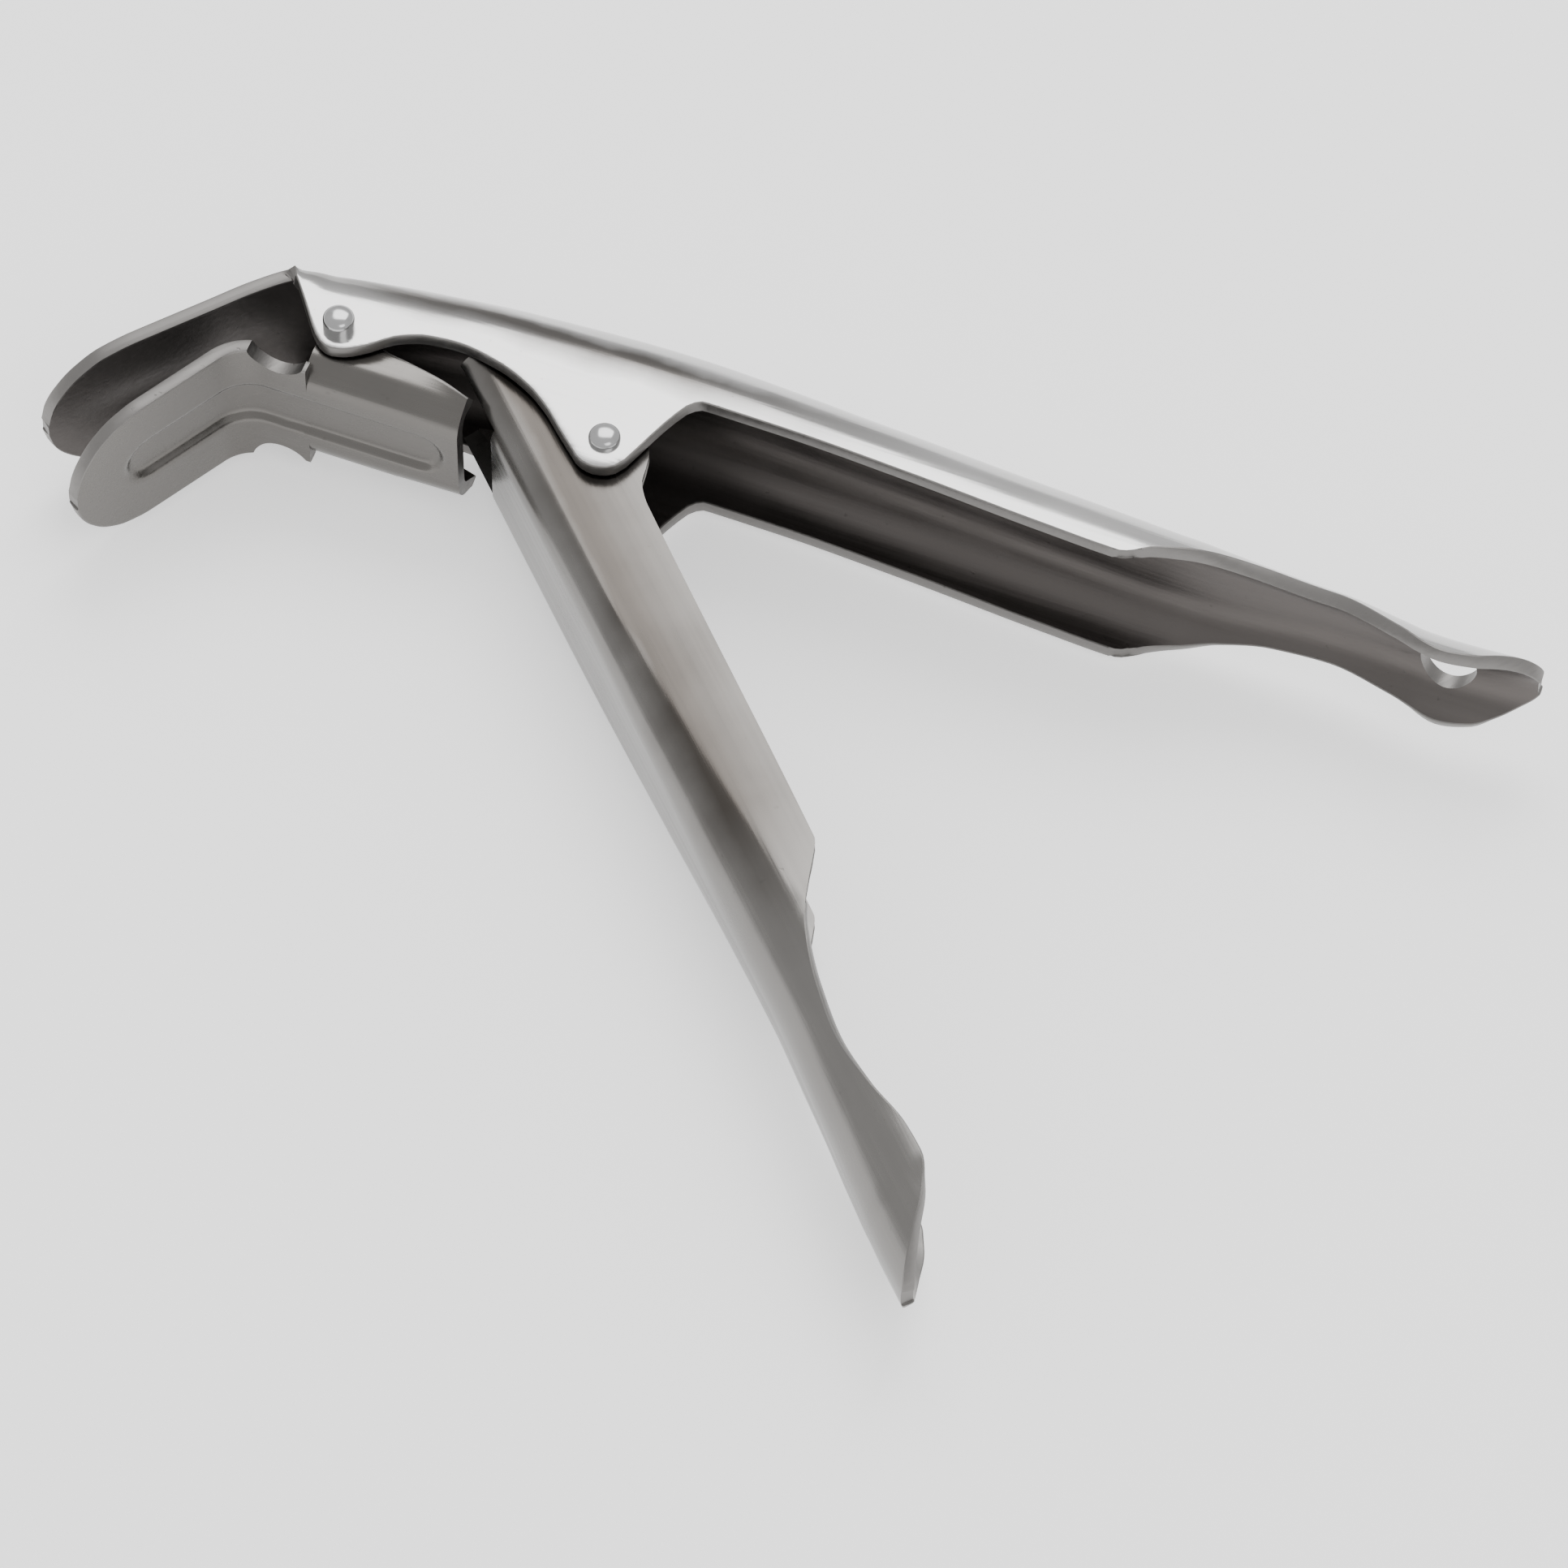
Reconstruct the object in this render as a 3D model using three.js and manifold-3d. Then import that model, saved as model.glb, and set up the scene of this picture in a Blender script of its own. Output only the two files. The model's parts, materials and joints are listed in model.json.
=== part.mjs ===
// Pan gripper: two stamped steel jaws and a squeeze lever, joined by two rivets.
// Frame: millimetres. The tool lies on its side. The rear rivet's axis is the Z axis, +X runs
// along the upper handle to its tail, +Y points out of the upper handle's crown, and Z = 0 is
// the flat end of the rear rivet that the tool rests on.
import * as THREE from 'three';
import Module from 'manifold-3d';

const wasm = await Module();
wasm.setup();

// ---- driving dimensions ----
const SHEET = 2.0;               // upper handle and lower jaw
const LEVER_SHEET = 1.8;
const UPPER_HALF = 12.7;         // half of the upper handle's outside width
const FIT_GAP = 0.4;             // side play between nested flanges
const INNER_HALF = UPPER_HALF - SHEET - FIT_GAP;
const PLATE_HALF = 12.0;         // half width of both gripping plates
const SHOULDER = 9.0;            // outside radius of the upper handle's shoulders
const PIN_RADIUS = 2.2;
const PIN_PLAY = 0.35;
const REST_END = 1.4;            // rivet ends below the lower cheek
const FRONT_END = 2.5;           // front rivet end above the upper cheek
const REAR_END = 1.4;            // rear rivet end above the upper cheek
const MID = REST_END + UPPER_HALF;
const FRONT_PIVOT = new THREE.Vector2(-40.8, 4.6);
const HANG_HOLE = { x: 116.5, radius: 4.0 };
const ROUND_STEPS = 28;

// lower jaw
const JAW_FLOOR = -3.1;          // outside face of the jaw's level part
const JAW_REAR = -20.5;
const JAW_FRONT_EDGE = -43.2;    // front edge of the jaw's two flanges
const JAW_CORNER = -52.4;        // where level and sloping outside faces would meet
const JAW_SLOPE = THREE.MathUtils.degToRad(60.7);
const JAW_BEND = 6.0;            // radius of the bend on its outside, concave face
const JAW_FOLD = 4.5;            // outside radius between floor and flanges
const JAW_PLATE = 28.4;          // from the corner to the tip along the slope
const JAW_NOTCH = { x: -46.9, z: 12.8, radius: 4.3 };
const BEAD = { half: 3.6, edge: 1.5, depth: 0.9, start: 2.6, end: 9.0 };

// squeeze lever, in its own frame: u along the lever, v out of its web
const LEVER_ANGLE = THREE.MathUtils.degToRad(-45.5);
const LEVER_WEB = 12.7;
const WEB_START = -10.0;
const LEVER_TIP = 133.6;
const TONGUE = -21.9;

// ---- small tools ----
const { sin, cos, acos, sqrt, min, max, PI } = Math;

// A smooth curve through a few knots that never overshoots them.
function through(...knots) {
  const count = knots.length;
  const slope = knots.slice(1).map(([x, y], i) => (y - knots[i][1]) / (x - knots[i][0]));
  const lean = knots.map((_, i) => {
    if (i === 0) return slope[0];
    if (i === count - 1) return slope[count - 2];
    const [before, after] = [slope[i - 1], slope[i]];
    return before * after <= 0 ? 0 : (2 * before * after) / (before + after);
  });
  return x => {
    let i = 0;
    while (i < count - 2 && x > knots[i + 1][0]) i += 1;
    const width = knots[i + 1][0] - knots[i][0];
    const t = min(1, max(0, (x - knots[i][0]) / width));
    const [a, b] = [knots[i][1], knots[i + 1][1]];
    const rise = t * t * (3 - 2 * t);
    return a + (b - a) * rise + width * t * (1 - t) * ((1 - t) * lean[i] - t * lean[i + 1]);
  };
}

function evenly(from, to, count) {
  return Array.from({ length: count + 1 }, (_, i) => from + ((to - from) * i) / count);
}

// Values that crowd towards `to`, for a rounded end.
function crowding(from, to, count) {
  return evenly(0, PI / 2, count).map(a => from + (to - from) * sin(a));
}

// Half of a bent sheet's outside section, as [across, down] points from the crown to the edge:
// a flat, a bend of `radius` through `turn`, and a straight flange of `drop`.
function halfSection({ half, radius, turn, drop }, bendSteps, flangeSteps, flatStops) {
  const flat = max(0.3, half - radius * sin(turn) - drop * cos(turn));
  const points = flatStops(flat).map(across => [across, 0]);
  for (const a of evenly(0, turn, bendSteps).slice(1)) {
    points.push([flat + radius * sin(a), radius * (1 - cos(a))]);
  }
  const [across, down] = points.at(-1);
  for (const length of evenly(0, drop, flangeSteps).slice(1)) {
    points.push([across + length * cos(turn), down + length * sin(turn)]);
  }
  return points;
}

// A section as wide as `half` whose edge lies `depth` below its crown.
function arch(half, radius, depth) {
  const turn = depth < radius ? acos(1 - max(depth, 0.02) / radius) : PI / 2;
  return { half, radius, turn, drop: max(0.05, depth - radius) };
}

// A closed sheet of even thickness under a grid of outside points, rows of equal length.
// `facing` is 1 where going along the rows' order and then across them turns outwards, else -1.
function sheetGeometry(rows, thickness, facing) {
  const height = rows.length;
  const width = rows[0].length;
  const at = (i, j) => rows[min(height - 1, max(0, i))][min(width - 1, max(0, j))];
  const positions = [];
  for (const inner of [0, 1]) {
    for (let i = 0; i < height; i += 1) {
      for (let j = 0; j < width; j += 1) {
        const along = at(i + 1, j).clone().sub(at(i - 1, j));
        const across = at(i, j + 1).clone().sub(at(i, j - 1));
        const normal = along.cross(across).normalize().multiplyScalar(facing);
        const point = at(i, j).clone().addScaledVector(normal, -thickness * inner);
        positions.push(point.x, point.y, point.z);
      }
    }
  }
  const id = (inner, i, j) => inner * height * width + i * width + j;
  const index = [];
  const quad = (a, b, c, d) => {
    if (facing > 0) index.push(a, b, c, a, c, d);
    else index.push(a, c, b, a, d, c);
  };
  for (let i = 0; i < height - 1; i += 1) {
    for (let j = 0; j < width - 1; j += 1) {
      quad(id(0, i, j), id(0, i + 1, j), id(0, i + 1, j + 1), id(0, i, j + 1));
      quad(id(1, i, j), id(1, i, j + 1), id(1, i + 1, j + 1), id(1, i + 1, j));
    }
  }
  for (let i = 0; i < height - 1; i += 1) {
    quad(id(0, i + 1, 0), id(0, i, 0), id(1, i, 0), id(1, i + 1, 0));
    quad(id(0, i, width - 1), id(0, i + 1, width - 1), id(1, i + 1, width - 1), id(1, i, width - 1));
  }
  for (let j = 0; j < width - 1; j += 1) {
    quad(id(0, 0, j), id(0, 0, j + 1), id(1, 0, j + 1), id(1, 0, j));
    quad(id(0, height - 1, j + 1), id(0, height - 1, j), id(1, height - 1, j), id(1, height - 1, j + 1));
  }
  const geometry = new THREE.BufferGeometry();
  geometry.setAttribute('position', new THREE.Float32BufferAttribute(positions, 3));
  geometry.setIndex(index);
  return geometry;
}

function toSolid(geometry) {
  const vertProperties = new Float32Array(geometry.getAttribute('position').array);
  const triVerts = new Uint32Array(geometry.getIndex().array);
  return new wasm.Manifold(new wasm.Mesh({ numProp: 3, vertProperties, triVerts }));
}

function toGeometry(solid) {
  const { vertProperties, triVerts } = solid.getMesh();
  const geometry = new THREE.BufferGeometry();
  geometry.setAttribute('position', new THREE.Float32BufferAttribute(vertProperties, 3));
  geometry.setIndex(Array.from(triVerts));
  return geometry;
}

// A closed prism: an outline in a plane, pushed along that plane's normal.
function prismSolid(points, from, to, place) {
  const clockwise = THREE.ShapeUtils.area(points.map(([a, b]) => new THREE.Vector2(a, b))) < 0;
  const outline = clockwise ? points.slice().reverse() : points;
  const count = outline.length;
  const positions = [];
  for (const height of [from, to]) {
    for (const [a, b] of outline) positions.push(...place(a, b, height));
  }
  const caps = THREE.ShapeUtils.triangulateShape(outline.map(([a, b]) => new THREE.Vector2(a, b)), []);
  const index = [];
  for (const [a, b, c] of caps) {
    index.push(c, b, a);
    index.push(a + count, b + count, c + count);
  }
  for (let i = 0; i < count; i += 1) {
    const next = (i + 1) % count;
    index.push(i, next, next + count, i, next + count, i + count);
  }
  const geometry = new THREE.BufferGeometry();
  geometry.setAttribute('position', new THREE.Float32BufferAttribute(positions, 3));
  geometry.setIndex(index);
  return toSolid(geometry);
}

const upright = (a, b, height) => [a, b, height];              // outline in XY, pushed along Z
const sideways = (a, b, height) => [a, height, MID - b];       // outline in XZ, pushed along Y

function circle(x, y, radius) {
  return evenly(0, 2 * PI, ROUND_STEPS).slice(1).map(a => [x + radius * cos(a), y + radius * sin(a)]);
}

function pinHole(x, y) {
  return prismSolid(circle(x, y, PIN_RADIUS + PIN_PLAY), -1, 2 * MID + 1, upright);
}

// Outside points of a stamping: `stations` give a crown point, the outward direction there and
// the section; `relief` may push a point outwards.
function outsideGrid(stations, bendSteps, flangeSteps, flatStops, relief = () => 0) {
  return stations.map(({ x, y, out, section, s }) => {
    const half = halfSection(section, bendSteps, flangeSteps, flatStops);
    const both = [...half.slice().reverse(), ...half.slice(1).map(([a, d]) => [-a, d])];
    return both.map(([across, down]) => {
      const lift = relief(s, across) - down;
      return new THREE.Vector3(x + out.x * lift, y + out.y * lift, MID + across);
    });
  });
}

// ---- upper handle: one stamping with the fixed jaw plate ----
const crown = through(
  [-76.3, -16.8], [-68.5, -7.7], [-59.7, 2.5], [-55, 7.9], [-50.8, 11.75], [-44.7, 15.4],
  [-36, 17.8], [-28.7, 19.0], [-18, 20.2], [5, 21.3], [34.5, 19.9], [60, 18.4], [84.5, 17.4],
  [100, 17.7], [116, 16.7], [129, 17.3],
);

const cheekEdge = through(
  [-50.2, 11.6], [-46.5, 6.7], [-43.5, 2.7], [-42.2, 1.4], [-40.6, 0.8], [-38.6, 1.3], [-36.4, 2.7],
  [-32.6, 5.9], [-28.7, 7.4], [-24.3, 7.8], [-18.5, 6.9], [-13.3, 4.9], [-9.5, 2.4], [-6.3, -0.5],
  [-3.7, -2.8], [-1.8, -4.3], [0, -4.7], [1.8, -4.3], [3.3, -3.1], [4.6, 0.1], [6.5, 5.3],
  [8.8, 9.7], [10.4, 10.6], [22, 10.5], [40, 9.7], [60, 8.4], [71.4, 7.9], [73, 8.6], [75, 10.1],
  [79.3, 12.0], [84.5, 13.8], [92, 14.9], [100, 15.0], [110, 12.9], [116.5, 10.9], [121, 11.9],
  [124, 13.9], [127, 16.1], [129, 17.2],
);

const upperHalf = through(
  [-76.3, 1.2], [-75.9, 3.8], [-74.9, 6.4], [-72.9, 9.3], [-70.2, 11.4], [-67, PLATE_HALF], [-51, PLATE_HALF],
  [-49.4, UPPER_HALF], [72, UPPER_HALF], [79.3, 11.9], [84.5, 10.4], [92, 8.6], [100, 7.95],
  [110, 8.2], [118, 8.5], [122, 7.9], [125.5, 6.0], [127.8, 3.4], [129, 0.8],
);

const shoulder = through(
  [-50, 2.4], [-47.5, 4.6], [-44.7, 6.9], [-36, 8.6], [-28, SHOULDER], [129, SHOULDER],
);

function upperStations() {
  const xs = [
    ...crowding(-66, -76.3, 7).reverse(), ...evenly(-62, -52, 3), -51, -50.2, -49.2,
    ...evenly(-48, -30, 12), ...evenly(-27, -12, 5), ...evenly(-9.5, 10.4, 15), ...evenly(22, 60, 3),
    71.4, 73, 75, ...evenly(78, 108, 7), ...crowding(112, 129, 8),
  ];
  return xs.map(x => {
    const depth = x < -50.2 ? 0 : crown(x) - cheekEdge(x);
    return { x, y: crown(x), out: new THREE.Vector2(0, 1), section: arch(upperHalf(x), shoulder(x), depth) };
  });
}

function upperHandle() {
  const rows = outsideGrid(upperStations(), 5, 2, flat => [0, flat]);
  const sheet = toSolid(sheetGeometry(rows, SHEET, 1));
  const hang = prismSolid(circle(HANG_HOLE.x, 0, HANG_HOLE.radius), 0, 30, sideways);
  return sheet
    .subtract(pinHole(0, 0))
    .subtract(pinHole(FRONT_PIVOT.x, FRONT_PIVOT.y))
    .subtract(hang);
}

// ---- lower jaw: level part with two flanges, a bend, and the moving gripping plate ----
const jawTangent = JAW_BEND * Math.tan(JAW_SLOPE / 2);
const jawLevel = JAW_REAR - (JAW_CORNER + jawTangent);     // length of the level part
const jawArc = JAW_BEND * JAW_SLOPE;
const jawLength = jawLevel + jawArc + JAW_PLATE - jawTangent;

// The jaw's outside line: s runs from its rear edge to its tip.
function jawLine(s) {
  if (s < jawLevel) return { x: JAW_REAR - s, y: JAW_FLOOR, out: new THREE.Vector2(0, -1) };
  const turned = min(JAW_SLOPE, (s - jawLevel) / JAW_BEND);
  const past = max(0, s - jawLevel - jawArc);
  const x = JAW_CORNER + jawTangent - JAW_BEND * sin(turned) - past * cos(JAW_SLOPE);
  const y = JAW_FLOOR - JAW_BEND * (1 - cos(turned)) - past * sin(JAW_SLOPE);
  return { x, y, out: new THREE.Vector2(sin(turned), -cos(turned)) };
}

// Top edge of the jaw's flanges.
const flangeTop = through(
  [JAW_FRONT_EDGE, 8.1], [-42, 8.9], [-40.8, 9.1], [-38.6, 8.3], [-36.8, 6.2], [-34, 4.3],
  [-30, 3.6], [-25, 2.5], [JAW_REAR, 0.9],
);
const flangeTurn = through([-30, PI / 2], [-24, 1.35], [JAW_REAR, 1.05]);
const flangeLength = JAW_REAR - JAW_FRONT_EDGE;
const plateHalf = through(
  [0, INNER_HALF], [flangeLength, INNER_HALF], [29, PLATE_HALF], [jawLength - 12, PLATE_HALF],
  [jawLength - 8, 11.2], [jawLength - 4.5, 9.2], [jawLength - 2, 6.4], [jawLength - 0.7, 3.9],
  [jawLength, 1.2],
);

function flangeSection(s) {
  const x = JAW_REAR - s;
  const turn = x > -30 ? flangeTurn(x) : PI / 2;
  const rise = flangeTop(x) - JAW_FLOOR;
  const drop = max(0.3, (rise - JAW_FOLD * (1 - cos(turn))) / sin(turn));
  return { half: INNER_HALF, radius: JAW_FOLD, turn, drop };
}

function plateSection(s) {
  return { half: plateHalf(s), radius: JAW_FOLD, turn: 0.02, drop: 0.3 };
}

// The long bead pressed along the middle of the jaw, standing out of its gripping side.
function beadRelief(s, across) {
  const nearest = min(max(s, BEAD.start + BEAD.half), jawLength - BEAD.end - BEAD.half);
  const away = sqrt((s - nearest) ** 2 + across ** 2);
  const step = min(1, max(0, (BEAD.half + BEAD.edge / 2 - away) / BEAD.edge));
  return -BEAD.depth * step * step * (3 - 2 * step);
}

function jawSheet(places, section) {
  const { half, edge } = BEAD;
  const stops = flat => {
    const squeeze = min(1, flat / (half + 1.5 * edge));
    return [0, (half - edge / 2) * squeeze, (half + edge / 2) * squeeze, flat];
  };
  const stations = places.map(s => ({ ...jawLine(s), section: section(s), s }));
  return toSolid(sheetGeometry(outsideGrid(stations, 4, 2, stops, beadRelief), SHEET, 1));
}

function lowerJaw() {
  const bendEnd = jawLevel + jawArc;
  const level = [...evenly(0, 8.4, 5), ...evenly(10, flangeLength, 11)];
  const plate = [
    flangeLength - 0.5, flangeLength + 0.9, flangeLength + 2.5, ...evenly(jawLevel, bendEnd, 6),
    ...evenly(bendEnd + 2.5, jawLength - 13, 3), ...crowding(jawLength - 11, jawLength, 8),
  ];
  let jaw = jawSheet(level, flangeSection).add(jawSheet(plate, plateSection));
  for (const side of [-1, 1]) {
    const notch = circle(JAW_NOTCH.x, side * JAW_NOTCH.z, JAW_NOTCH.radius);
    jaw = jaw.subtract(prismSolid(notch, -9, 0.5, sideways));
  }
  return jaw.subtract(pinHole(FRONT_PIVOT.x, FRONT_PIVOT.y));
}

// ---- squeeze lever ----
const leverWeb = through(
  [-24, LEVER_WEB], [85.2, LEVER_WEB], [100.6, 13.3], [116, 14.1], [127.5, 14.6], [LEVER_TIP, 14.6],
);
const leverEdge = through(
  [TONGUE, 9.8], [-20.5, 6.0], [-17, 3.6], [-12, 1.0], [-8, -1.6], [-5, -4.2], [-2.5, -5.6], [0, -6],
  [2.5, -5.5], [5, -4.0], [7.5, -2.3], [11, -1.7], [69.3, -1.0], [71.7, 0.2], [75, 2.3], [81.3, 5.7],
  [90, 7.8], [98.2, 8.6], [106.6, 7.6], [115, 6.0], [119.3, 5.8], [124.2, 7.7], [128.5, 10.9],
  [131.9, 13.4], [LEVER_TIP, 14.5],
);
const leverHalf = through(
  [-24, INNER_HALF], [73.6, INNER_HALF], [81.3, 10.0], [90, 9.2], [98.2, 8.9], [106.3, 9.2], [115, 9.9],
  [119.8, 9.8], [124.6, 8.6], [128.5, 6.5], [131.9, 3.6], [LEVER_TIP, 0.8],
);
const leverBend = through(
  [-24, 4.0], [19.7, 4.2], [48.6, 6.2], [73.6, 8.6], [87.1, 9.0], [LEVER_TIP, 9.0],
);

const leverAlong = new THREE.Vector2(cos(LEVER_ANGLE), sin(LEVER_ANGLE));
const leverOut = new THREE.Vector2(leverAlong.y, -leverAlong.x);

function leverPoint(u, v) {
  return leverAlong.clone().multiplyScalar(u).addScaledVector(leverOut, v);
}

function leverStations() {
  const us = [
    ...evenly(TONGUE, -17, 3), ...evenly(-14.5, 9, 11), 11, ...evenly(25.4, 69.3, 3), 71.7, 75,
    ...evenly(78.4, 115, 8), ...crowding(118.9, LEVER_TIP, 8),
  ];
  return us.map(u => {
    const { x, y } = leverPoint(u, leverWeb(u));
    const depth = leverWeb(u) - leverEdge(u);
    return { x, y, out: leverOut, section: arch(leverHalf(u), leverBend(u), depth) };
  });
}

function lowerHandle() {
  const rows = outsideGrid(leverStations(), 5, 2, flat => [0, flat]);
  const sheet = toSolid(sheetGeometry(rows, LEVER_SHEET, -1));
  const slotHalf = INNER_HALF - LEVER_SHEET - 0.1;
  const mouth = [[-30, -12], [WEB_START, -12], [WEB_START, 20], [-30, 20]].map(([u, v]) => {
    const { x, y } = leverPoint(u, v);
    return [x, y];
  });
  return sheet
    .subtract(prismSolid(mouth, MID - slotHalf, MID + slotHalf, upright))
    .subtract(pinHole(0, 0));
}

// ---- rivets: a round shank with a crowned end on the upper side ----
function rivet(topEnd) {
  const top = 2 * UPPER_HALF + REST_END + topEnd;
  const crownRise = 0.8;
  const chamfer = 0.3;
  const profile = [new THREE.Vector2(0, 0), new THREE.Vector2(PIN_RADIUS - chamfer, 0)];
  profile.push(new THREE.Vector2(PIN_RADIUS, chamfer), new THREE.Vector2(PIN_RADIUS, top - crownRise));
  for (const a of evenly(0, PI / 2, 4).slice(1)) {
    profile.push(new THREE.Vector2(PIN_RADIUS * cos(a), top - crownRise * (1 - sin(a))));
  }
  profile.at(-1).x = 0;
  return new THREE.LatheGeometry(profile, ROUND_STEPS).rotateX(PI / 2);
}

// ---- the assembly ----
function steel(color, roughness) {
  return new THREE.MeshStandardMaterial({ color, roughness, metalness: 1.0 });
}

const group = new THREE.Group();

function addPiece(name, geometry, material) {
  const piece = new THREE.Mesh(geometry, material);
  piece.name = name;
  group.add(piece);
  return piece;
}

addPiece('upper_handle', toGeometry(upperHandle()), steel(0xc9c9c8, 0.28));
addPiece('lower_jaw', toGeometry(lowerJaw()), steel(0xa3a19f, 0.38));
addPiece('lower_handle', toGeometry(lowerHandle()), steel(0xaaa9a7, 0.34));
const frontRivet = addPiece('front_rivet', rivet(FRONT_END), steel(0xd2d2d2, 0.25));
frontRivet.position.set(FRONT_PIVOT.x, FRONT_PIVOT.y, 0);
addPiece('rear_rivet', rivet(REAR_END), steel(0xd2d2d2, 0.25));

export default group;
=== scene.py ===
import json
import math

import bmesh
import bpy
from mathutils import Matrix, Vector


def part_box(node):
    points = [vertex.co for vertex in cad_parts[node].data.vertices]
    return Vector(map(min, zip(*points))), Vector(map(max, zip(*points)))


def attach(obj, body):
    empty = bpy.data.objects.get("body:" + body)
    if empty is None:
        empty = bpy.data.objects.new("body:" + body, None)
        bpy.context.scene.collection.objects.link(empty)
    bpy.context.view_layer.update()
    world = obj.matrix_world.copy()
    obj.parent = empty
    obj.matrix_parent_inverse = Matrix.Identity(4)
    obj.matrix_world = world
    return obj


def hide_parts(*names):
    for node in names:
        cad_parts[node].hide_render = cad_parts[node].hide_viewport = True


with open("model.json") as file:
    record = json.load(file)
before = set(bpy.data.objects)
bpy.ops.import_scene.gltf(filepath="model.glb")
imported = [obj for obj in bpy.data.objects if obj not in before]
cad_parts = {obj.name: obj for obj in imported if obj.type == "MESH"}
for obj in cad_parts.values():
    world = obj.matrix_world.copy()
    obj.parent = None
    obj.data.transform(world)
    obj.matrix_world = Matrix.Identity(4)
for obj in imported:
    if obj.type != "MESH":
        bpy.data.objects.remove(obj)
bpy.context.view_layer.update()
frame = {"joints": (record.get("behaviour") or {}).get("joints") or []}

# ---- sizes, in millimetres, read from the frame where it holds them ----
MM = 0.001
SHEET = 2.0
LEVER_SHEET = 1.8
RIM_BULGE = 0.3                        # how far a rounded sheared rim stands out
FIT_GAP = 0.4                          # side play between nested flanges
handle_low, handle_high = (Vector(corner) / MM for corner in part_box("upper_handle"))
UPPER_HALF = (handle_high.z - handle_low.z) / 2
REST_END = handle_low.z
MID = REST_END + UPPER_HALF
INNER_HALF = UPPER_HALF - SHEET - FIT_GAP
PLATE_HALF = 12.0 - RIM_BULGE          # half width of both gripping plates, less their rims
SHOULDER = 9.0
JOINT_AT = {joint["name"]: Vector(joint["pos_m"]) / MM for joint in frame["joints"]}
REAR_PIVOT = JOINT_AT["lever_pivot"]
HANG_X, HANG_RADIUS = 116.5, 4.0
HANG_CUT = (8, 24)                     # heights that the hanging hole is cut between

# ---- curves ----


def through(*knots):
    """A smooth curve through a few knots that never overshoots them."""
    count = len(knots)
    slope = [(b[1] - a[1]) / (b[0] - a[0]) for a, b in zip(knots, knots[1:])]
    lean = [slope[0]]
    for before, after in zip(slope, slope[1:]):
        lean.append(0.0 if before * after <= 0 else 2 * before * after / (before + after))
    lean.append(slope[-1])

    def value(x):
        i = 0
        while i < count - 2 and x > knots[i + 1][0]:
            i += 1
        width = knots[i + 1][0] - knots[i][0]
        t = min(1.0, max(0.0, (x - knots[i][0]) / width))
        a, b = knots[i][1], knots[i + 1][1]
        ease = a + (b - a) * t * t * (3 - 2 * t)
        return ease + width * t * (1 - t) * ((1 - t) * lean[i] - t * lean[i + 1])

    return value


def evenly(start, stop, count):
    return [start + (stop - start) * i / count for i in range(count + 1)]


END_STEPS = 22                         # rows over a rounded end


def stations(start, stop, step, round_start, round_stop):
    """Places along a stamping, closer together towards a rounded end."""
    places = []
    if round_start:
        turns = evenly(math.pi / 2, 0, END_STEPS)
        places += [start + round_start * (1 - math.sin(a)) for a in turns][:-1]
    middle = (start + round_start, stop - round_stop)
    places += evenly(*middle, round((middle[1] - middle[0]) / step))
    if round_stop:
        turns = evenly(0, math.pi / 2, END_STEPS)
        places += [stop - round_stop * (1 - math.sin(a)) for a in turns][1:]
    return places


def half_section(half, radius, turn, drop, steps):
    """Half of a bent sheet's outside section, (across, down), from its crown to its edge."""
    flat_steps, bend_steps, flange_steps = steps
    flat = max(0.3, half - radius * math.sin(turn) - drop * math.cos(turn))
    points = [(across, 0.0) for across in evenly(0, flat, flat_steps)]
    for a in evenly(0, turn, bend_steps)[1:]:
        points.append((flat + radius * math.sin(a), radius * (1 - math.cos(a))))
    across, down = points[-1]
    for length in evenly(0, drop, flange_steps)[1:]:
        points.append((across + length * math.cos(turn), down + length * math.sin(turn)))
    return points


def arch(half, radius, depth):
    turn = math.acos(1 - max(depth, 0.02) / radius) if depth < radius else math.pi / 2
    return half, radius, turn, max(0.05, depth - radius)


# ---- meshes ----
RIM_STEPS = 6
FEWEST_FACES = 50                      # smaller islands of faces are slivers
WELD = 0.000002                        # metres within which vertices are joined after a cut
OUTSIDE, INSIDE, RIM = 0, 1, 2        # material places of a sheet


def link(name, mesh):
    piece = bpy.data.objects.new(name, mesh)
    bpy.context.scene.collection.objects.link(piece)
    return piece


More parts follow.
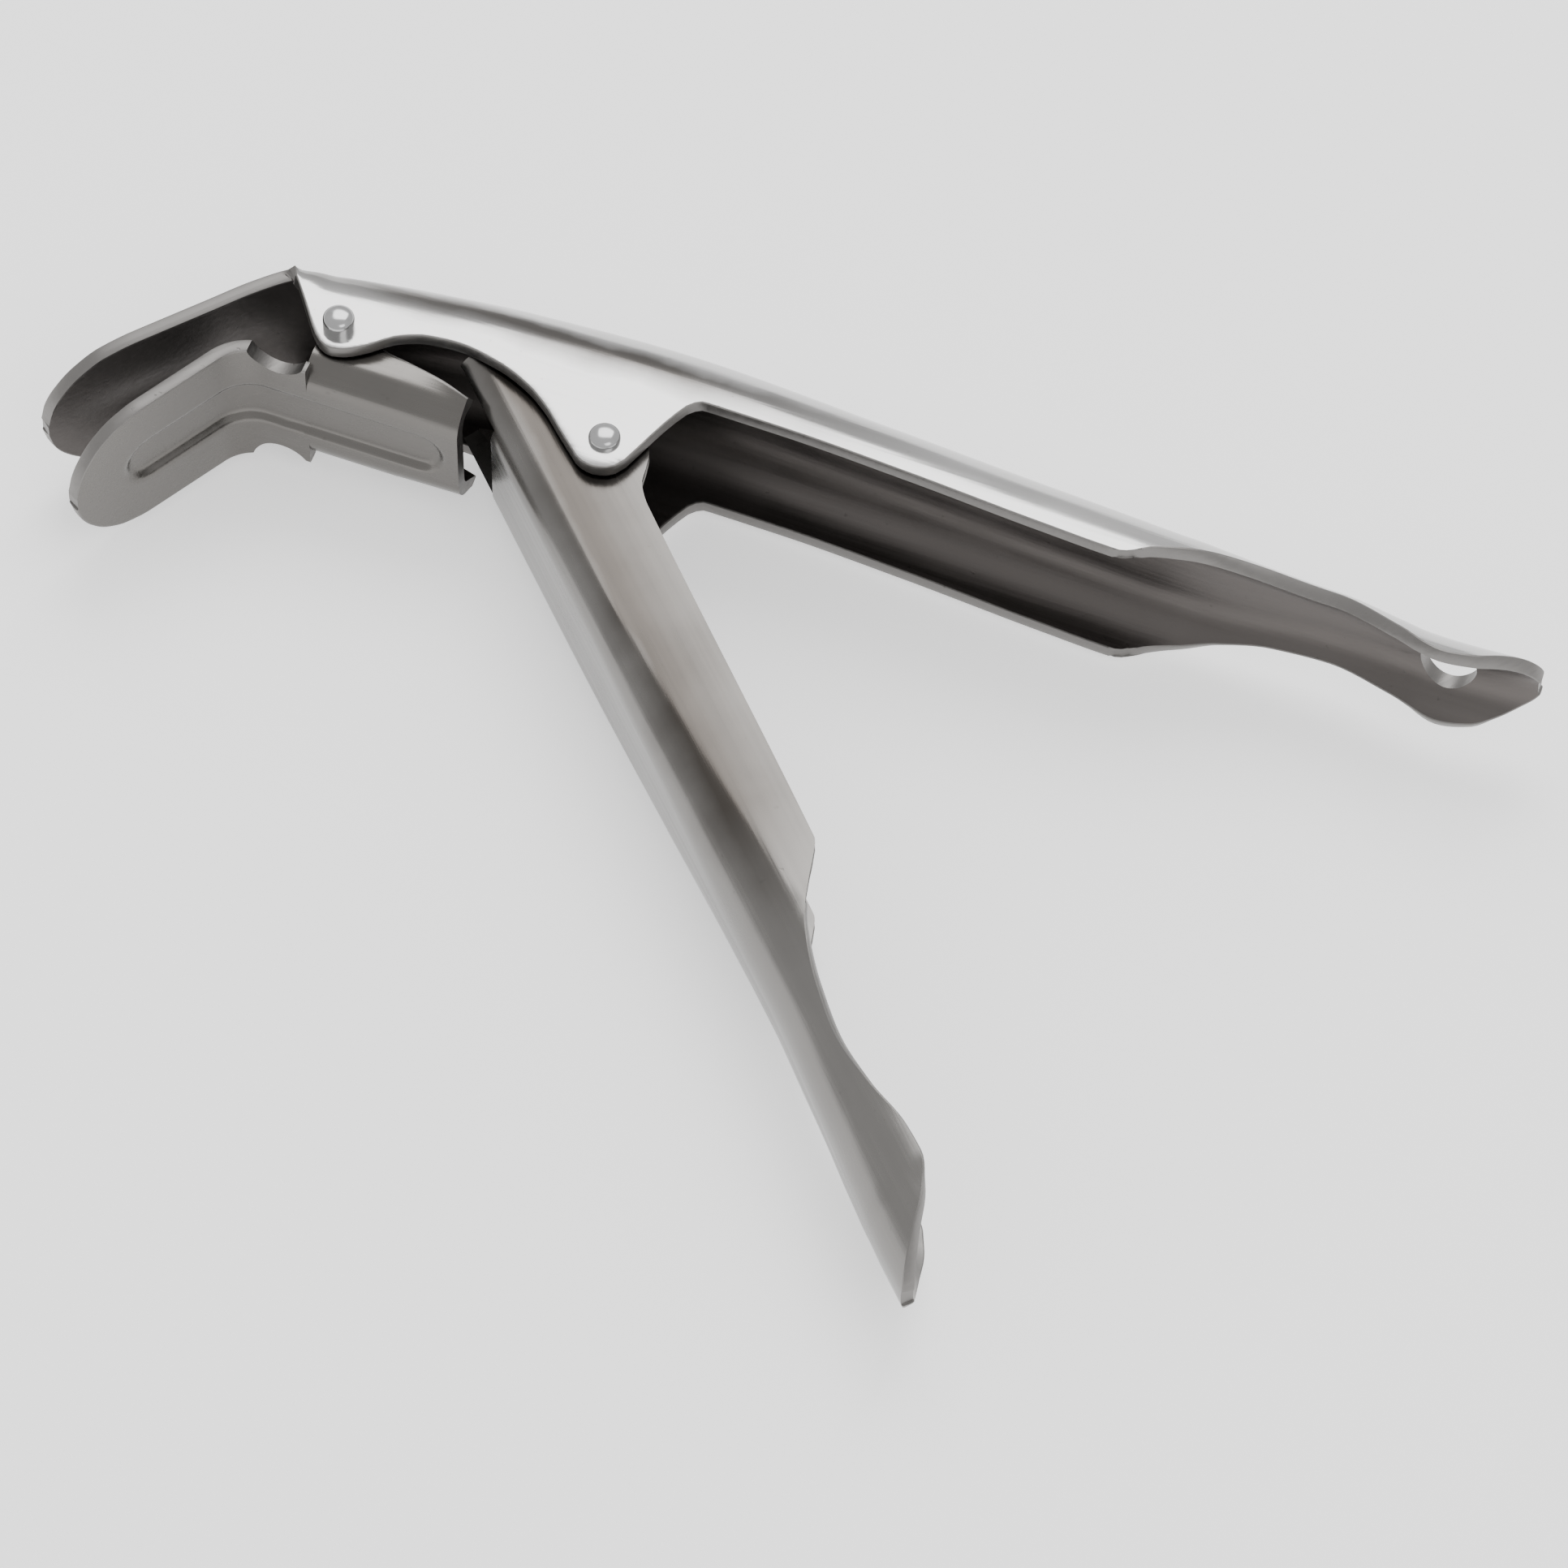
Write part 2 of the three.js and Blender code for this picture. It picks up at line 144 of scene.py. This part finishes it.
def sheet_piece(name, rows, thickness, facing):
    """A closed sheet under a grid of outside points, with rounded sheared rims.
    facing is 1 where along the rows and then across them turns outwards, else -1."""
    height, width = len(rows), len(rows[0])

    def at(i, j):
        return rows[min(height - 1, max(0, i))][min(width - 1, max(0, j))]

    def frame_at(i, j):
        along = at(i + 1, j) - at(i - 1, j)
        across = at(i, j + 1) - at(i, j - 1)
        return along.normalized(), along.cross(across).normalized() * facing

    loops = []
    for i in range(height):
        outside, inside, edges = [], [], {}
        for j in range(width):
            along, normal = frame_at(i, j)
            outside.append(at(i, j))
            inside.append(at(i, j) - normal * thickness)
            if j in (0, width - 1):
                side = 1 if j == 0 else -1
                away = along.cross(normal) * side
                if away.dot(at(i, 0) - at(i, width - 1)) * side < 0:
                    away.negate()
                middle = (outside[-1] + inside[-1]) / 2
                half = normal * (thickness / 2)
                rim = []
                for a in evenly(0, math.pi, RIM_STEPS)[1:-1]:
                    square = math.copysign(abs(math.cos(a)) ** 0.55, math.cos(a))
                    rim.append(middle + half * square + away * (RIM_BULGE * math.sin(a) ** 0.6))
                edges[j] = rim
        loops.append(outside + edges[width - 1] + inside[::-1] + edges[0][::-1])
    size = len(loops[0])
    mesh = bpy.data.meshes.new(name)
    points = [point * MM for loop in loops for point in loop]
    faces = []
    for i in range(height - 1):
        for k in range(size):
            n = (k + 1) % size
            faces.append((i * size + k, i * size + n, (i + 1) * size + n, (i + 1) * size + k))
    rim_count = RIM_STEPS - 1
    for row in (0, height - 1):
        base = row * size
        for j in range(width - 1):
            mirror = 2 * width + rim_count - 1 - j
            faces.append((base + j, base + j + 1, base + mirror - 1, base + mirror))
        far = [base + width - 1 + k for k in range(rim_count + 2)]
        near = [base + (2 * width + rim_count - 1 + k) % size for k in range(rim_count + 2)]
        faces.append(tuple(far))
        faces.append(tuple(near))
    mesh.from_pydata(points, [], faces)
    for slot in ("outside", "inside", "rim"):
        mesh.materials.append(bpy.data.materials.get(slot) or bpy.data.materials.new(slot))
    one_rim = [RIM] * (rim_count + 1)
    around = [OUTSIDE] * (width - 1) + one_rim + [INSIDE] * (width - 1) + one_rim
    for n, face in enumerate(mesh.polygons):
        face.material_index = around[n % size] if n < (height - 1) * size else RIM
    piece = link(name, mesh)
    shape = bmesh.new()
    shape.from_mesh(mesh)
    bmesh.ops.recalc_face_normals(shape, faces=shape.faces)
    shape.to_mesh(mesh)
    shape.free()
    return piece


def grid(places, steps, relief=lambda s, across: 0.0):
    """Outside points; a place is (x, y, out_x, out_y, section, s)."""
    rows = []
    for x, y, out_x, out_y, section, s in places:
        half = half_section(*section, steps)
        both = half[::-1] + [(-across, down) for across, down in half[1:]]
        row = []
        for across, down in both:
            lift = relief(s, across) - down
            row.append(Vector((x + out_x * lift, y + out_y * lift, MID + across)))
        rows.append(row)
    return rows


def cut(piece, outline, low, high, plane):
    """Cuts a prism out of a piece: an outline in XY pushed along Z, or in XZ along Y."""
    place = {"xy": lambda a, b, h: (a, b, h), "xz": lambda a, b, h: (a, h, MID + b)}[plane]
    count = len(outline)
    points = [Vector(place(a, b, h)) * MM for h in (low, high) for a, b in outline]
    faces = [tuple(range(count)), tuple(range(2 * count - 1, count - 1, -1))]
    faces += [(i, i + count, (i + 1) % count + count, (i + 1) % count) for i in range(count)]
    mesh = bpy.data.meshes.new("cutter")
    mesh.from_pydata(points, [], faces)
    mesh.materials.append(bpy.data.materials["rim"])
    cutter = link("cutter", mesh)
    shape = bmesh.new()
    shape.from_mesh(mesh)
    bmesh.ops.recalc_face_normals(shape, faces=shape.faces)
    shape.to_mesh(mesh)
    shape.free()
    combine(piece, cutter, "DIFFERENCE")


def combine(piece, tool, operation):
    boolean = piece.modifiers.new("combine", "BOOLEAN")
    boolean.operation = operation
    boolean.solver = "MANIFOLD"
    boolean.object = tool
    apply_modifiers(piece)
    bpy.data.objects.remove(tool)


def apply_modifiers(piece):
    graph = bpy.context.evaluated_depsgraph_get()
    final = bpy.data.meshes.new_from_object(piece.evaluated_get(graph))
    piece.modifiers.clear()
    piece.data = final


def circle(x, y, radius, count=72):
    turns = evenly(0, 2 * math.pi, count)[1:]
    return [(x + radius * math.cos(a), y + radius * math.sin(a)) for a in turns]


def drop_fragments(shape):
    """Removes the loose slivers that cuts can leave."""
    seen, fragments = set(), []
    for start in shape.faces:
        if start in seen:
            continue
        island = [start]
        seen.add(start)
        for face in island:
            for edge in face.edges:
                if len(edge.link_faces) == 2:
                    found = [other for other in edge.link_faces if other not in seen]
                    seen.update(found)
                    island += found
        if len(island) < FEWEST_FACES:
            fragments += island
    bmesh.ops.delete(shape, geom=fragments, context="FACES")


def finish_shading(piece, sharp_degrees=38):
    """Smooth faces, with creases where the surface turns sharply."""
    shape = bmesh.new()
    shape.from_mesh(piece.data)
    bmesh.ops.remove_doubles(shape, verts=shape.verts, dist=WELD)
    bmesh.ops.dissolve_degenerate(shape, edges=shape.edges, dist=WELD)
    drop_fragments(shape)
    limit = math.radians(sharp_degrees)
    for face in shape.faces:
        face.smooth = True
    for edge in shape.edges:
        edge.smooth = edge.calc_face_angle(0.0) < limit
    shape.to_mesh(piece.data)
    shape.free()


# ---- upper handle ----
crown = through(
    (-76.3, -16.8), (-68.5, -7.7), (-59.7, 2.5), (-55, 7.9), (-50.8, 11.75), (-44.7, 15.4),
    (-36, 17.8), (-28.7, 19.0), (-18, 20.2), (5, 21.3), (34.5, 19.9), (60, 18.4), (84.5, 17.4),
    (100, 17.7), (116, 16.7), (129, 17.3),
)
cheek_edge = through(
    (-50.2, 11.6), (-46.5, 6.7), (-43.5, 2.7), (-42.2, 1.4), (-40.6, 0.8), (-38.6, 1.3), (-36.4, 2.7),
    (-32.6, 5.9), (-28.7, 7.4), (-24.3, 7.8), (-18.5, 6.9), (-13.3, 4.9), (-9.5, 2.4), (-6.3, -0.5),
    (-3.7, -2.8), (-1.8, -4.3), (0, -4.7), (1.8, -4.3), (3.3, -3.1), (4.6, 0.1), (6.5, 5.3),
    (8.8, 9.7), (10.4, 10.6), (22, 10.5), (40, 9.7), (60, 8.4), (71.4, 7.9), (73, 8.6), (75, 10.1),
    (79.3, 12.0), (84.5, 13.8), (92, 14.9), (100, 15.0), (110, 12.9), (116.5, 10.9), (121, 11.9),
    (124, 13.9), (127, 16.1), (129, 17.2),
)
upper_half = through(
    (-76.3, 1.2), (-75.9, 3.8), (-74.9, 6.4), (-72.9, 9.3), (-70.2, 11.2), (-67, PLATE_HALF),
    (-51, PLATE_HALF), (-49.4, UPPER_HALF), (72, UPPER_HALF), (79.3, 11.9), (84.5, 10.4), (92, 8.6),
    (100, 7.95), (110, 8.2), (118, 8.5), (122, 7.9), (125.5, 6.0), (127.8, 3.4), (129, 0.8),
)
shoulder = through((-50, 2.4), (-47.5, 4.6), (-44.7, 6.9), (-36, 8.6), (-28, SHOULDER), (129, SHOULDER))


def upper_relief(x, across):
    """A shallow rib pressed along the middle of the fixed jaw plate."""
    if not -74 < x < -52:
        return 0.0
    ends = min(1.0, (x + 74) / 5, (-52 - x) / 5)
    return 0.55 * ends * math.exp(-((across / 3.2) ** 2))


def make_upper_handle():
    places = []
    for x in stations(-76.3, 129.0, 0.9, 8.0, 9.0):
        depth = 0.0 if x < -50.2 else crown(x) - cheek_edge(x)
        places.append((x, crown(x), 0.0, 1.0, arch(upper_half(x), shoulder(x), depth), x))
    piece = sheet_piece("upper_handle_shell", grid(places, (8, 14, 8), upper_relief), SHEET, 1)
    cut(piece, circle(HANG_X, 0, HANG_RADIUS), *HANG_CUT, "xz")
    return piece


# ---- lower jaw ----
JAW_FLOOR, JAW_REAR, JAW_FRONT_EDGE, JAW_CORNER = -3.1, -20.5, -43.2, -52.4
JAW_SLOPE = math.radians(60.7)
JAW_BEND, JAW_PLATE, FLANGE_RADIUS = 6.0, 28.4, 4.5
jaw_tangent = JAW_BEND * math.tan(JAW_SLOPE / 2)
jaw_level = JAW_REAR - (JAW_CORNER + jaw_tangent)
jaw_arc = JAW_BEND * JAW_SLOPE
jaw_length = jaw_level + jaw_arc + JAW_PLATE - jaw_tangent
BEAD_HALF, BEAD_EDGE, BEAD_DEPTH, BEAD_START, BEAD_STOP = 3.6, 1.6, 1.0, 2.6, 9.0
NOTCH_X, NOTCH_ACROSS, NOTCH_RADIUS = -46.9, 12.8, 4.3
NOTCH_CUT = (-9, 0.5)                  # heights that the notches are cut between

flange_top = through(
    (JAW_FRONT_EDGE, 8.1), (-42, 8.9), (-40.8, 9.1), (-38.6, 8.3), (-36.8, 6.2), (-34, 4.3),
    (-30, 3.6), (-25, 2.5), (JAW_REAR, 0.9),
)
flange_turn = through((-30, math.pi / 2), (-24, 1.35), (JAW_REAR, 1.05))
flange_length = JAW_REAR - JAW_FRONT_EDGE
plate_half = through(
    (0, INNER_HALF), (flange_length, INNER_HALF), (29, PLATE_HALF), (jaw_length - 12, PLATE_HALF),
    (jaw_length - 8, 11.0), (jaw_length - 4.5, 9.1), (jaw_length - 2, 6.3), (jaw_length - 0.7, 3.8),
    (jaw_length, 1.2),
)


def flange_section(s):
    x = JAW_REAR - s
    turn = flange_turn(x) if x > -30 else math.pi / 2
    rise = flange_top(x) - JAW_FLOOR
    drop = max(0.3, (rise - FLANGE_RADIUS * (1 - math.cos(turn))) / math.sin(turn))
    return INNER_HALF, FLANGE_RADIUS, turn, drop


def plate_section(s):
    return plate_half(s), FLANGE_RADIUS, 0.02, 0.3


def jaw_place(s, section):
    if s < jaw_level:
        return JAW_REAR - s, JAW_FLOOR, 0.0, -1.0, section(s), s
    turned = min(JAW_SLOPE, (s - jaw_level) / JAW_BEND)
    past = max(0.0, s - jaw_level - jaw_arc)
    x = JAW_CORNER + jaw_tangent - JAW_BEND * math.sin(turned) - past * math.cos(JAW_SLOPE)
    y = JAW_FLOOR - JAW_BEND * (1 - math.cos(turned)) - past * math.sin(JAW_SLOPE)
    return x, y, math.sin(turned), -math.cos(turned), section(s), s


def bead_relief(s, across):
    """The long racetrack bead, pressed out of the jaw's gripping side."""
    nearest = min(max(s, BEAD_START + BEAD_HALF), jaw_length - BEAD_STOP - BEAD_HALF)
    away = math.hypot(s - nearest, across)
    step = min(1.0, max(0.0, (BEAD_HALF + BEAD_EDGE / 2 - away) / BEAD_EDGE))
    return -BEAD_DEPTH * step * step * (3 - 2 * step)


def make_lower_jaw():
    level = [jaw_place(s, flange_section) for s in evenly(0, flange_length, 50)]
    front = stations(flange_length - 0.5, jaw_length, 0.45, 0, 10.0)
    plate = [jaw_place(s, plate_section) for s in front]
    piece = sheet_piece("lower_jaw_shell", grid(level, (20, 14, 8), bead_relief), SHEET, 1)
    combine(piece, sheet_piece("plate", grid(plate, (24, 2, 2), bead_relief), SHEET, 1), "UNION")
    for side in (-1, 1):
        cut(piece, circle(NOTCH_X, side * NOTCH_ACROSS, NOTCH_RADIUS), *NOTCH_CUT, "xz")
    return piece


# ---- squeeze lever ----
LEVER_ANGLE = math.radians(-45.5)
LEVER_WEB, WEB_START, LEVER_TIP, TONGUE = 12.7, -10.0, 133.6, -21.9
lever_web = through(
    (-24, LEVER_WEB), (85.2, LEVER_WEB), (100.6, 13.3), (116, 14.1), (127.5, 14.6), (LEVER_TIP, 14.6),
)
lever_edge = through(
    (TONGUE, 9.8), (-20.5, 6.0), (-17, 3.6), (-12, 1.0), (-8, -1.6), (-5, -4.2), (-2.5, -5.6), (0, -6),
    (2.5, -5.5), (5, -4.0), (7.5, -2.3), (11, -1.7), (69.3, -1.0), (71.7, 0.2), (75, 2.3), (81.3, 5.7),
    (90, 7.8), (98.2, 8.6), (106.6, 7.6), (115, 6.0), (119.3, 5.8), (124.2, 7.7), (128.5, 10.9),
    (131.9, 13.4), (LEVER_TIP, 14.5),
)
lever_half = through(
    (-24, INNER_HALF), (73.6, INNER_HALF), (81.3, 10.0), (90, 9.2), (98.2, 8.9), (106.3, 9.2),
    (115, 9.9), (119.8, 9.8), (124.6, 8.6), (128.5, 6.5), (131.9, 3.6), (LEVER_TIP, 0.8),
)
lever_bend = through((-24, 4.0), (19.7, 4.2), (48.6, 6.2), (73.6, 8.6), (87.1, 9.0), (LEVER_TIP, 9.0))
ALONG = (math.cos(LEVER_ANGLE), math.sin(LEVER_ANGLE))
OUT = (ALONG[1], -ALONG[0])


def lever_point(u, v):
    return ALONG[0] * u + OUT[0] * v, ALONG[1] * u + OUT[1] * v


def make_lower_handle():
    places = []
    for u in stations(TONGUE, LEVER_TIP, 0.8, 0, 8.0):
        section = arch(lever_half(u), lever_bend(u), lever_web(u) - lever_edge(u))
        places.append((*lever_point(u, lever_web(u)), *OUT, section, u))
    piece = sheet_piece("lower_handle_shell", grid(places, (8, 14, 8)), LEVER_SHEET, -1)
    slot_half = INNER_HALF - LEVER_SHEET - 0.1
    mouth = [lever_point(u, v) for u, v in ((-30, -12), (WEB_START, -12), (WEB_START, 20), (-30, 20))]
    cut(piece, mouth, MID - slot_half, MID + slot_half, "xy")
    return piece


# ---- rivets ----


def make_rivet(node):
    """A turned pin with a crowned upper end and a flat, chamfered lower end."""
    low, high = (Vector(corner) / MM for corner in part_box(node))
    radius = (high.x - low.x) / 2
    centre = (low + high) / 2
    rise, chamfer, sides = 1.1, 0.35, 64
    profile = [(0.02, 0.0), (radius - chamfer - 0.1, 0.0)]
    for a in evenly(0, math.pi / 2, 5):
        profile.append((radius - chamfer + chamfer * math.sin(a), chamfer * (1 - math.cos(a))))
    profile += [(radius, high.z - rise - 0.6)]
    for a in evenly(0, 1.5, 10):
        profile.append((radius * math.cos(a) ** 0.75, high.z - rise * (1 - math.sin(a))))
    points, faces = [], []
    for r, z in profile:
        points += [Vector((centre.x + a, centre.y + b, z)) * MM for a, b in circle(0, 0, r, sides)]
    for i in range(len(profile) - 1):
        for k in range(sides):
            n = (k + 1) % sides
            faces.append((i * sides + k, i * sides + n, (i + 1) * sides + n, (i + 1) * sides + k))
    last = (len(profile) - 1) * sides
    faces += [tuple(range(sides))[::-1], tuple(last + k for k in range(sides))]
    mesh = bpy.data.meshes.new(node + "_pin")
    mesh.from_pydata(points, [], faces)
    return link(node + "_pin", mesh)


# ---- materials ----
# Colour of the painted dark reflection beside the bends, and how strongly it is mixed in
PAINTED_DARK_REFLECTION = (0.05, 0.043, 0.037, 1)
DARK_REFLECTION_AMOUNT = 0.85
GRAIN_SCALE = (14, 1200, 1200)         # long along the grain, fine across it
GRAIN_HEIGHT = 0.00006


def steel(name, color, roughness, grain, direction, speck=0.25, band=None):
    """Polished sheet steel: fine lines along `direction`, soft cloudiness and a few dark specks.
    `band` is a stripe of painted dark reflection beside a bend: the direction it is measured in and
    where it rises and falls, in millimetres, then the direction it runs in and where it fades out."""
    material = bpy.data.materials.new(name)
    material.use_nodes = True
    nodes, links = material.node_tree.nodes, material.node_tree.links
    shader = nodes["Principled BSDF"]
    shader.inputs["Metallic"].default_value = 1.0
    place = nodes.new("ShaderNodeTexCoord")
    turn = nodes.new("ShaderNodeMapping")
    turn.vector_type = "TEXTURE"
    turn.inputs["Rotation"].default_value = (0, 0, direction)
    stretch = nodes.new("ShaderNodeMapping")
    stretch.inputs["Scale"].default_value = GRAIN_SCALE
    links.new(place.outputs["Object"], turn.inputs["Vector"])
    links.new(turn.outputs["Vector"], stretch.inputs["Vector"])

    def noise(vector, scale, detail):
        texture = nodes.new("ShaderNodeTexNoise")
        texture.inputs["Scale"].default_value = scale
        texture.inputs["Detail"].default_value = detail
        links.new(vector, texture.inputs["Vector"])
        return texture.outputs["Fac"]

    def remap(value, low, high, to_low, to_high):
        span = nodes.new("ShaderNodeMapRange")
        span.inputs["From Min"].default_value = low
        span.inputs["From Max"].default_value = high
        span.inputs["To Min"].default_value = to_low
        span.inputs["To Max"].default_value = to_high
        links.new(value, span.inputs["Value"])
        return span.outputs["Result"]

    def maths(operation, a, b):
        node = nodes.new("ShaderNodeMath")
        node.operation = operation
        for socket, value in zip(node.inputs, (a, b)):
            if isinstance(value, float):
                socket.default_value = value
            else:
                links.new(value, socket)
        return node.outputs["Value"]

    lines = noise(stretch.outputs["Vector"], 1.0, 3)
    clouds = noise(place.outputs["Object"], 70, 4)
    specks = noise(place.outputs["Object"], 900, 2)
    shade = maths("ADD", remap(lines, 0.3, 0.7, -0.05, 0.05), remap(clouds, 0.3, 0.7, -0.09, 0.07))
    pits = remap(specks, 0.70, 0.78, 0.0, speck)
    tint = nodes.new("ShaderNodeMix")
    tint.data_type = "RGBA"
    dark = [c * 0.72 for c in color]
    light = [min(1.0, c * 1.14) for c in color]
    tint.inputs["A"].default_value = (*dark, 1)
    tint.inputs["B"].default_value = (*light, 1)
    links.new(maths("SUBTRACT", maths("ADD", shade, 0.6), pits), tint.inputs["Factor"])
    finish = tint.outputs["Result"]
    if band:
        across, (rise, full, hold, fall), along, (fade, gone) = band

        def measured(axis):
            dot = nodes.new("ShaderNodeVectorMath")
            dot.operation = "DOT_PRODUCT"
            dot.inputs[1].default_value = (*axis, 0)
            links.new(place.outputs["Object"], dot.inputs[0])
            return maths("ADD", dot.outputs["Value"], remap(clouds, 0.3, 0.7, -0.0008, 0.0008))

        # Painted dark reflection: a darker stripe mixed into the base colour beside a bend
        stripe = maths(
            "MULTIPLY",
            remap(measured(across), rise * MM, full * MM, 0.0, 1.0),
            remap(measured(across), hold * MM, fall * MM, 1.0, 0.0),
        )
        stripe = maths("MULTIPLY", stripe, remap(measured(along), fade * MM, gone * MM, 1.0, 0.0))
        painted_reflection = nodes.new("ShaderNodeMix")
        painted_reflection.data_type = "RGBA"
        painted_reflection.inputs["B"].default_value = PAINTED_DARK_REFLECTION
        links.new(maths("MULTIPLY", stripe, DARK_REFLECTION_AMOUNT), painted_reflection.inputs["Factor"])
        links.new(finish, painted_reflection.inputs["A"])
        finish = painted_reflection.outputs["Result"]
    links.new(finish, shader.inputs["Base Color"])
    rough = maths("ADD", remap(clouds, 0.3, 0.7, -0.04, 0.05), remap(lines, 0.3, 0.7, -0.04, 0.04))
    links.new(maths("ADD", rough, float(roughness)), shader.inputs["Roughness"])
    bump = nodes.new("ShaderNodeBump")
    bump.inputs["Strength"].default_value = grain
    bump.inputs["Distance"].default_value = GRAIN_HEIGHT
    relief = maths("SUBTRACT", maths("ADD", lines, maths("MULTIPLY", clouds, 0.8)), pits)
    links.new(relief, bump.inputs["Height"])
    links.new(bump.outputs["Normal"], shader.inputs["Normal"])
    return material


def dress(piece, outside, inside, rim):
    """Gives a sheet's outside, inside and sheared rims their own finishes."""
    for i, name in enumerate(slot.name for slot in piece.data.materials):
        piece.data.materials[i] = {"outside": outside, "inside": inside, "rim": rim}[name]


# ---- camera, light and floor ----
VIEW_AZIMUTH, VIEW_ELEVATION, VIEW_DISTANCE = 21.2, 56.0, 1500.0
AIM_RIGHT, AIM_DOWN, LENS = 24.3, 46.8, 254.4


def make_camera():
    a, e = math.radians(VIEW_AZIMUTH), math.radians(VIEW_ELEVATION)
    back = Vector((math.sin(a) * math.cos(e), -math.cos(a) * math.cos(e), math.sin(e)))
    right = Vector((math.cos(a), math.sin(a), 0))
    up = back.cross(right)
    near_face = Vector((REAR_PIVOT.x, REAR_PIVOT.y, MID + UPPER_HALF))
    aim = near_face + right * AIM_RIGHT - up * AIM_DOWN
    data = bpy.data.cameras.new("camera")
    data.lens = LENS
    data.sensor_width = 36
    data.clip_end = 10
    camera = bpy.data.objects.new("camera", data)
    camera.location = (aim + back * VIEW_DISTANCE) * MM
    camera.rotation_euler = back.to_track_quat("Z", "Y").to_euler()
    bpy.context.scene.collection.objects.link(camera)
    bpy.context.scene.camera = camera


def area_light(name, location, target, size, power):
    data = bpy.data.lights.new(name, "AREA")
    data.shape = "RECTANGLE"
    data.size, data.size_y = size
    data.energy = power
    lamp = bpy.data.objects.new(name, data)
    lamp.location = location
    lamp.rotation_euler = (Vector(location) - Vector(target)).to_track_quat("Z", "Y").to_euler()
    bpy.context.scene.collection.objects.link(lamp)


def make_floor():
    floor_mesh = bpy.data.meshes.new("floor")
    reach = 3.0
    corners = [(-reach, -reach, 0), (reach, -reach, 0), (reach, reach, 0), (-reach, reach, 0)]
    floor_mesh.from_pydata(corners, [], [(0, 1, 2, 3)])
    floor = link("floor", floor_mesh)
    pale = bpy.data.materials.new("pale_floor")
    pale.use_nodes = True
    finish = pale.node_tree.nodes["Principled BSDF"].inputs
    finish["Base Color"].default_value = (0.94, 0.94, 0.94, 1)
    finish["Roughness"].default_value = 0.9
    finish["Emission Color"].default_value = (1, 1, 1, 1)
    finish["Emission Strength"].default_value = 0.7
    floor_mesh.materials.append(pale)


def make_studio():
    world = bpy.data.worlds.new("studio")
    bpy.context.scene.world = world
    world.use_nodes = True
    world.node_tree.nodes["Background"].inputs["Color"].default_value = (1, 1, 1, 1)
    world.node_tree.nodes["Background"].inputs["Strength"].default_value = 1.0
    area_light("key", (-0.15, 0.75, 1.1), (0.02, -0.02, 0), (0.9, 0.7), 9.0)
    area_light("fill", (0.6, -0.5, 1.0), (0.02, -0.04, 0), (0.6, 0.6), 3.0)


make_camera()
make_floor()
make_studio()

# Painted dark reflections: along the upper handle's shoulder, and on the lever's side beside its bend
HANDLE_DARK_REFLECTION = ((0, 1), (9.5, 13.5, 14.5, 16.5), (1, 0), (5, 45))
LEVER_DARK_REFLECTION = (OUT, (-9.0, 6.0, 8.0, 12.0), ALONG, (60, 86))
handle_out = steel("polished_outside", (0.50, 0.495, 0.49), 0.20, 0.35, 0.0, band=HANDLE_DARK_REFLECTION)
# The handle's inside is rougher than its outside, and its colour is painted far darker: painted shade
# inside the channel
handle_inside_shaded = steel("dull_inside_painted_shade", (0.115, 0.105, 0.10), 0.40, 0.5, 0.0, 0.4)
sheared = steel("sheared_edge", (0.20, 0.193, 0.186), 0.46, 0.9, 0.86, 0.5)
jaw_out = steel("jaw_face", (0.145, 0.138, 0.130), 0.26, 0.4, 0.0)
jaw_in = steel("jaw_inside", (0.14, 0.132, 0.125), 0.38, 0.5, 0.0, 0.4)
lever_out = steel("lever_face", (0.20, 0.193, 0.185), 0.24, 0.4, LEVER_ANGLE, band=LEVER_DARK_REFLECTION)
lever_in = steel("lever_inside", (0.30, 0.29, 0.28), 0.42, 0.5, LEVER_ANGLE, 0.4)
rivet_steel = steel("rivet_face", (0.42, 0.42, 0.42), 0.20, 0.2, 0.0, 0.1)

upper_handle = make_upper_handle()
lower_jaw = make_lower_jaw()
lower_handle = make_lower_handle()
front_rivet = make_rivet("front_rivet")
rear_rivet = make_rivet("rear_rivet")

for piece in (upper_handle, lower_jaw, lower_handle, front_rivet, rear_rivet):
    finish_shading(piece)

dress(upper_handle, handle_out, handle_inside_shaded, sheared)
dress(lower_jaw, jaw_out, jaw_in, sheared)
dress(lower_handle, lever_out, lever_in, sheared)
for pin in (front_rivet, rear_rivet):
    pin.data.materials.append(rivet_steel)

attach(upper_handle, "upper")
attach(lower_jaw, "jaw")
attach(lower_handle, "lever")
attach(front_rivet, "upper")
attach(rear_rivet, "upper")

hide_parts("upper_handle")
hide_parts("lower_jaw")
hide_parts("lower_handle")
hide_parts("front_rivet")
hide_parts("rear_rivet")
